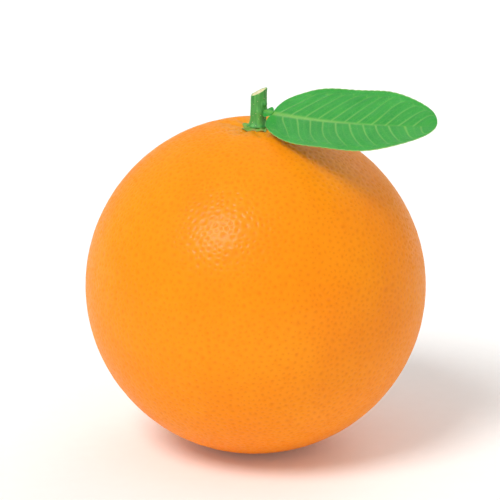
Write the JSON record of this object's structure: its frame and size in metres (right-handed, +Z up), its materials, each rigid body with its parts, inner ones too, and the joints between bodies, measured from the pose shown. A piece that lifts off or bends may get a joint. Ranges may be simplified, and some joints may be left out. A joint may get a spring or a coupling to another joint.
{
  "type": "orange",
  "caption": "Whole sweet orange as picked, with its green calyx, short slant-cut stem and glossy leaf, standing on the small flat spot at its blossom end.",
  "frame": {"origin": "centre of the small flat spot on the blossom end that the fruit rests on", "axes": "+Z up from the flat spot towards the stem, +X to the side the leaf is on, -Y towards the side the leaf's upper face leans to"},
  "size_m": [0.0786, 0.078, 0.0865],
  "materials": {
    "peel": "satin",
    "calyx": "matte",
    "stem_bark": "matte",
    "leaf_stalk": "satin",
    "leaf": "semi_gloss"
  },
  "bodies": {
    "root": {"fruit": "peel", "calyx": "calyx", "stem": "stem_bark", "leaf_stalk": "leaf_stalk", "leaf_blade": "leaf"}
  },
  "joints": []
}
